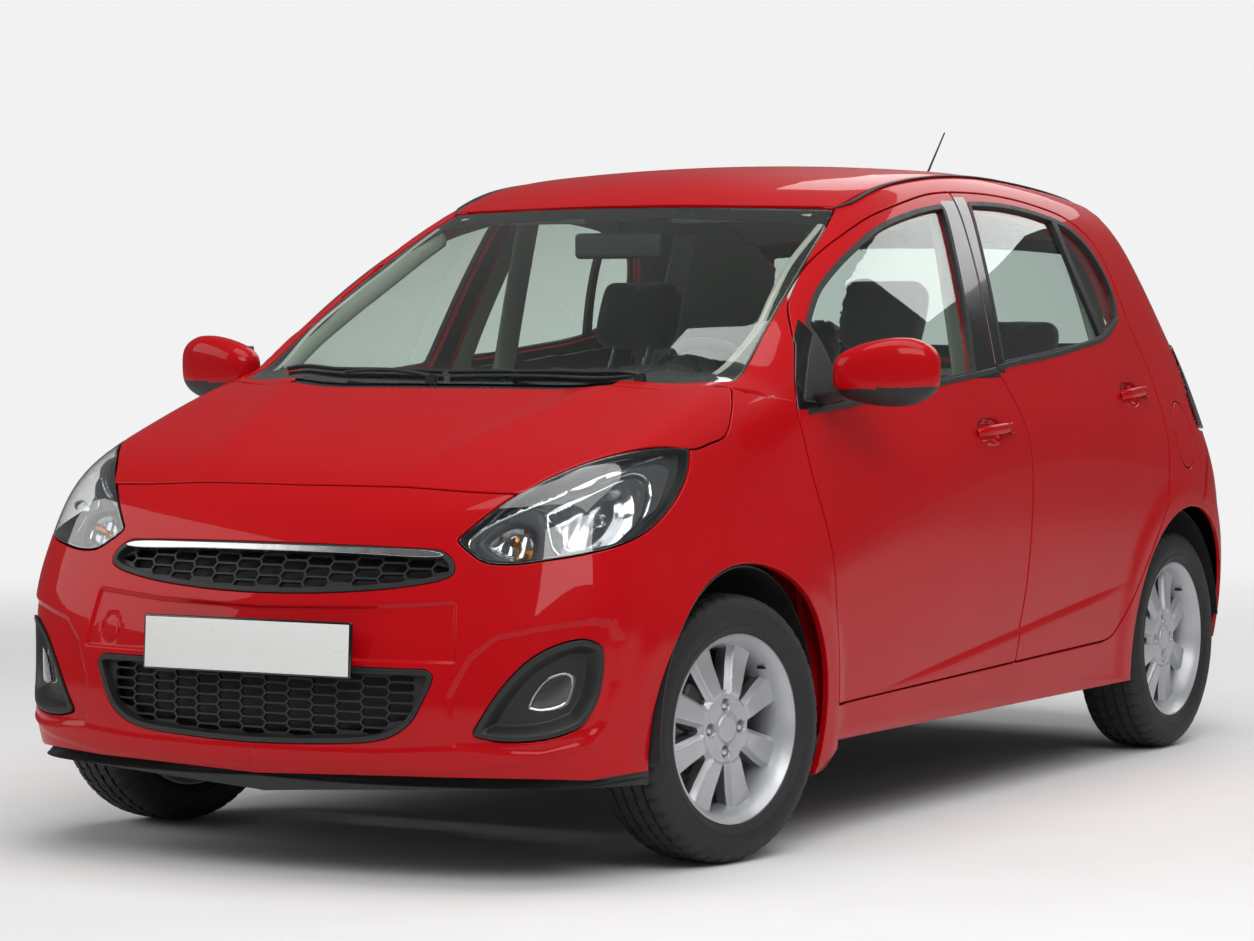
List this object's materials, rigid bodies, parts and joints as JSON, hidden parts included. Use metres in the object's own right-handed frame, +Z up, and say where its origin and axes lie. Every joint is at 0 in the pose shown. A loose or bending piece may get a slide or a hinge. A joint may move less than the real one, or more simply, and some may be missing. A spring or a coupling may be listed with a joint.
{
  "type": "hatchback car",
  "caption": "Small family hatchback with opening doors, bonnet, tailgate and fuel flap, steered front wheels, and a furnished cabin.",
  "frame": {"origin": "on the ground under the middle of the car", "axes": "+Z up, -Y towards the front of the car, +X towards its left side"},
  "size_m": [2.0508, 3.7416, 1.6633],
  "materials": {
    "red_paint": "high gloss",
    "window_glass": "clear",
    "clear_lamp": "clear",
    "red_lamp": "gloss",
    "black_plastic": "fine grain",
    "cabin_plastic": "grained",
    "roof_lining": "knitted",
    "seat_cloth": "woven",
    "plate": "gloss",
    "painted_steel": "satin",
    "tank_plastic": "satin",
    "cast_metal": "as cast",
    "exhaust_steel": "satin",
    "alloy": "silver lacquer",
    "tyre_rubber": "matt"
  },
  "bodies": {
    "car_body": {"floor_pan": "painted_steel", "side_frames": "red_paint", "roof_panel": "red_paint", "headliner": "roof_lining", "windscreen": "window_glass", "front_fenders": "red_paint", "front_bumper": "red_paint", "rear_bumper": "red_paint", "cowl_panel": "black_plastic", "headlamps": "clear_lamp", "tail_lamps": "red_lamp", "grilles": "black_plastic", "fog_lamps": "black_plastic", "number_plates": "plate", "dashboard": "cabin_plastic", "front_seats": "seat_cloth", "rear_bench": "seat_cloth", "engine": "cast_metal", "exhaust": "exhaust_steel", "rear_axle": "painted_steel", "front_subframe": "painted_steel", "fuel_tank": "tank_plastic", "aerial": "black_plastic", "wipers": "black_plastic", "interior_mirror": "cabin_plastic", "wheel_liners": "black_plastic"},
    "front_door_left": {"front_door_left": "red_paint", "front_glass_left": "window_glass", "mirror_left": "red_paint"},
    "front_door_right": {"front_door_right": "red_paint", "front_glass_right": "window_glass", "mirror_right": "red_paint"},
    "rear_door_left": {"rear_door_left": "red_paint", "rear_glass_left": "window_glass"},
    "rear_door_right": {"rear_door_right": "red_paint", "rear_glass_right": "window_glass"},
    "tailgate": {"tailgate": "red_paint", "tailgate_glass": "window_glass"},
    "bonnet": {"bonnet": "red_paint"},
    "fuel_flap": {"fuel_flap": "red_paint"},
    "steering_wheel": {"steering_wheel": "cabin_plastic"},
    "knuckle_left": {"knuckle_left": "cast_metal"},
    "knuckle_right": {"knuckle_right": "cast_metal"},
    "wheel_front_left": {"wheel_front_left": "alloy", "tyre_front_left": "tyre_rubber"},
    "wheel_front_right": {"wheel_front_right": "alloy", "tyre_front_right": "tyre_rubber"},
    "wheel_rear_left": {"wheel_rear_left": "alloy", "tyre_rear_left": "tyre_rubber"},
    "wheel_rear_right": {"wheel_rear_right": "alloy", "tyre_rear_right": "tyre_rubber"}
  },
  "joints": [
    {"name": "front_door_left_hinge", "type": "hinge", "parent": "car_body", "child": "front_door_left", "pos_m": [0.815, -0.715, 0.7], "axis": [0, 0, -1], "range_deg": [0, 65]},
    {"name": "rear_door_left_hinge", "type": "hinge", "parent": "car_body", "child": "rear_door_left", "pos_m": [0.822, 0.312, 0.7], "axis": [0, 0, -1], "range_deg": [0, 65]},
    {"name": "front_door_right_hinge", "type": "hinge", "parent": "car_body", "child": "front_door_right", "pos_m": [-0.815, -0.715, 0.7], "axis": [0, 0, 1], "range_deg": [0, 65]},
    {"name": "rear_door_right_hinge", "type": "hinge", "parent": "car_body", "child": "rear_door_right", "pos_m": [-0.822, 0.312, 0.7], "axis": [0, 0, 1], "range_deg": [0, 65]},
    {"name": "tailgate_hinge", "type": "hinge", "parent": "car_body", "child": "tailgate", "pos_m": [0, 1.352, 1.399], "axis": [1, 0, 0], "range_deg": [0, 66]},
    {"name": "bonnet_hinge", "type": "hinge", "parent": "car_body", "child": "bonnet", "pos_m": [0, -1.01, 1.008], "axis": [-1, 0, 0], "range_deg": [0, 52]},
    {"name": "fuel_flap_hinge", "type": "hinge", "parent": "car_body", "child": "fuel_flap", "pos_m": [0.828, 1.212, 0.834], "axis": [0, 0, -1], "range_deg": [0, 50]},
    {"name": "steering_wheel_turn", "type": "hinge", "parent": "car_body", "child": "steering_wheel", "pos_m": [0.35, -0.44, 0.945], "axis": [0, 0.9135, 0.4067], "range_deg": [-352.5, 697.5]},
    {"name": "steer_left", "type": "hinge", "parent": "car_body", "child": "knuckle_left", "pos_m": [0.655, -1.157, 0.29], "axis": [0, 0, 1], "range_deg": [-23.5, 46.5]},
    {"name": "steer_right", "type": "hinge", "parent": "car_body", "child": "knuckle_right", "pos_m": [-0.655, -1.157, 0.29], "axis": [0, 0, 1], "range_deg": [-23.5, 46.5]},
    {"name": "front_left_wheel_spin", "type": "hinge", "parent": "knuckle_left", "child": "wheel_front_left", "pos_m": [0.7187, -1.16996, 0.29], "axis": [0.9799, -0.1994, 0], "continuous": true},
    {"name": "front_right_wheel_spin", "type": "hinge", "parent": "knuckle_right", "child": "wheel_front_right", "pos_m": [-0.7187, -1.14404, 0.29], "axis": [0.9799, -0.1994, 0], "continuous": true},
    {"name": "rear_left_wheel_spin", "type": "hinge", "parent": "car_body", "child": "wheel_rear_left", "pos_m": [0.72, 1.267, 0.29], "axis": [1, 0, 0], "continuous": true},
    {"name": "rear_right_wheel_spin", "type": "hinge", "parent": "car_body", "child": "wheel_rear_right", "pos_m": [-0.72, 1.267, 0.29], "axis": [1, 0, 0], "continuous": true}
  ],
  "couplings": [
    {"joint": "steer_left", "follows": "steering_wheel_turn", "ratio": 0.066667},
    {"joint": "steer_right", "follows": "steering_wheel_turn", "ratio": 0.066667}
  ]
}
